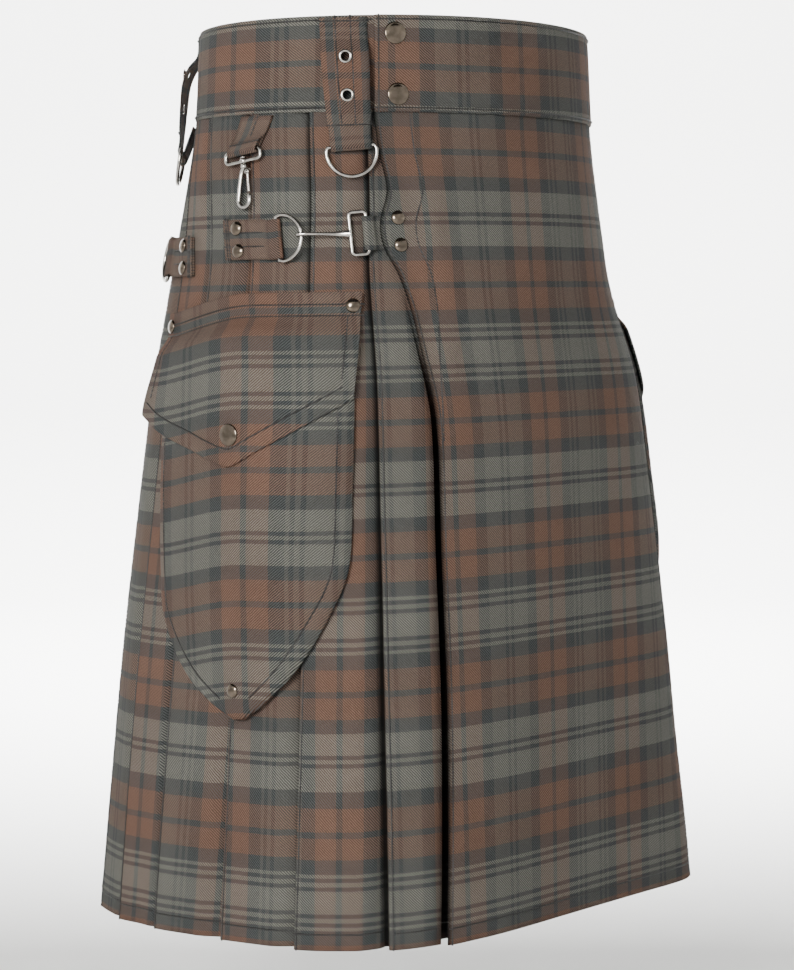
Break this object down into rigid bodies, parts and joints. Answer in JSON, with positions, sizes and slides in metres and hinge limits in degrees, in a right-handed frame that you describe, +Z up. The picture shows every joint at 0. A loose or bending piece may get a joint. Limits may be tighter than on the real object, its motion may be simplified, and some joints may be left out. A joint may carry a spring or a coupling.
{
  "type": "utility kilt",
  "caption": "Worn, hollow utility kilt in weathered tartan twill with a flat apron, knife pleats, snap waistband, belt loops with D-rings, a hip hook, a clip and flapped pockets.",
  "frame": {"origin": "centre of the waistband's ring at half its height, where the wearer's waist holds it", "axes": "+X towards the wearer's left, +Y towards the wearer's back, +Z up"},
  "size_m": [0.3969, 0.3586, 0.6345],
  "materials": {
    "cloth": "matte twill in a grey, brown and slate tartan check with black topstitching",
    "nickel": "polished nickel plate on steel"
  },
  "bodies": {
    "garment": {"pleats_right_front": "cloth", "pleats_right_back": "cloth", "pleats_left_back": "cloth", "pleats_left_front": "cloth", "outer_apron": "cloth", "under_apron": "cloth", "waistband": "cloth", "belt_loop_right_front": "cloth", "belt_loop_right_back": "cloth", "belt_loop_left_back": "cloth", "belt_loop_left_front": "cloth", "hip_tab": "cloth", "hip_tab_rivet_upper": "nickel", "hip_tab_rivet_lower": "nickel", "hip_ring": "nickel", "back_tab": "cloth", "back_tab_rivet_upper": "nickel", "back_tab_rivet_lower": "nickel", "hip_strap": "cloth", "hip_strap_rivet_upper": "nickel", "hip_strap_rivet_lower": "nickel", "hip_hook": "nickel", "clip_strap": "cloth", "pocket_right": "cloth", "pocket_back_right": "cloth", "pocket_flap_right": "cloth", "pocket_snap_right": "nickel", "pocket_rivet_front_right": "nickel", "pocket_rivet_rear_right": "nickel", "pocket_rivet_foot_right": "nickel", "pocket_left": "cloth", "pocket_back_left": "cloth", "pocket_flap_left": "cloth", "pocket_snap_left": "nickel", "pocket_rivet_front_left": "nickel", "pocket_rivet_rear_left": "nickel", "pocket_rivet_foot_left": "nickel", "waist_snap_upper": "nickel", "waist_snap_lower": "nickel"},
    "loop_ring_right_front": {"loop_ring_right_front": "nickel"},
    "loop_ring_right_back": {"loop_ring_right_back": "nickel"},
    "loop_ring_left_back": {"loop_ring_left_back": "nickel"},
    "loop_ring_left_front": {"loop_ring_left_front": "nickel"},
    "back_ring": {"back_ring": "nickel"},
    "clip_eye": {"clip_eye": "nickel"},
    "clip_hook": {"clip_hook": "nickel"},
    "clip_gate": {"clip_gate": "nickel"}
  },
  "joints": [
    {"name": "loop_ring_right_front_swing", "type": "hinge", "parent": "garment", "child": "loop_ring_right_front", "pos_m": [-0.1364, -0.07597, -0.05668], "axis": [-0.7093, 0.6999, -0.0837], "range_deg": [0, 100]},
    {"name": "loop_ring_right_back_swing", "type": "hinge", "parent": "garment", "child": "loop_ring_right_back", "pos_m": [-0.12699, 0.08921, -0.05836], "axis": [0.7157, 0.6419, -0.2753], "range_deg": [0, 100]},
    {"name": "loop_ring_left_back_swing", "type": "hinge", "parent": "garment", "child": "loop_ring_left_back", "pos_m": [0.12692, 0.08927, -0.05836], "axis": [0.7176, -0.6417, 0.2706], "range_deg": [0, 100]},
    {"name": "loop_ring_left_front_swing", "type": "hinge", "parent": "garment", "child": "loop_ring_left_front", "pos_m": [0.16131, -0.03967, -0.05706], "axis": [-0.4047, -0.9062, 0.1227], "range_deg": [0, 100]},
    {"name": "back_ring_swing", "type": "hinge", "parent": "garment", "child": "back_ring", "pos_m": [-0.14961, 0.07918, -0.12965], "axis": [0.2866, 0.1111, 0.9516], "range_deg": [0, 100]},
    {"name": "clip_eye_swing", "type": "hinge", "parent": "garment", "child": "clip_eye", "pos_m": [-0.16917, -0.00864, -0.05888], "axis": [-0.0995, 0.9816, -0.1629], "range_deg": [0, 95]},
    {"name": "clip_hook_swivel", "type": "hinge", "parent": "clip_eye", "child": "clip_hook", "pos_m": [-0.16975, -0.00983, -0.06575], "axis": [0.0827, 0.1713, 0.9817], "range_deg": [-15, 15]},
    {"name": "clip_gate_turn", "type": "hinge", "parent": "clip_hook", "child": "clip_gate", "pos_m": [-0.17011, -0.01367, -0.07269], "axis": [0.9916, 0.0842, -0.0982], "range_deg": [0, 16], "stiffness_Nm_per_rad": 0.02, "springref_deg": -8.59}
  ]
}
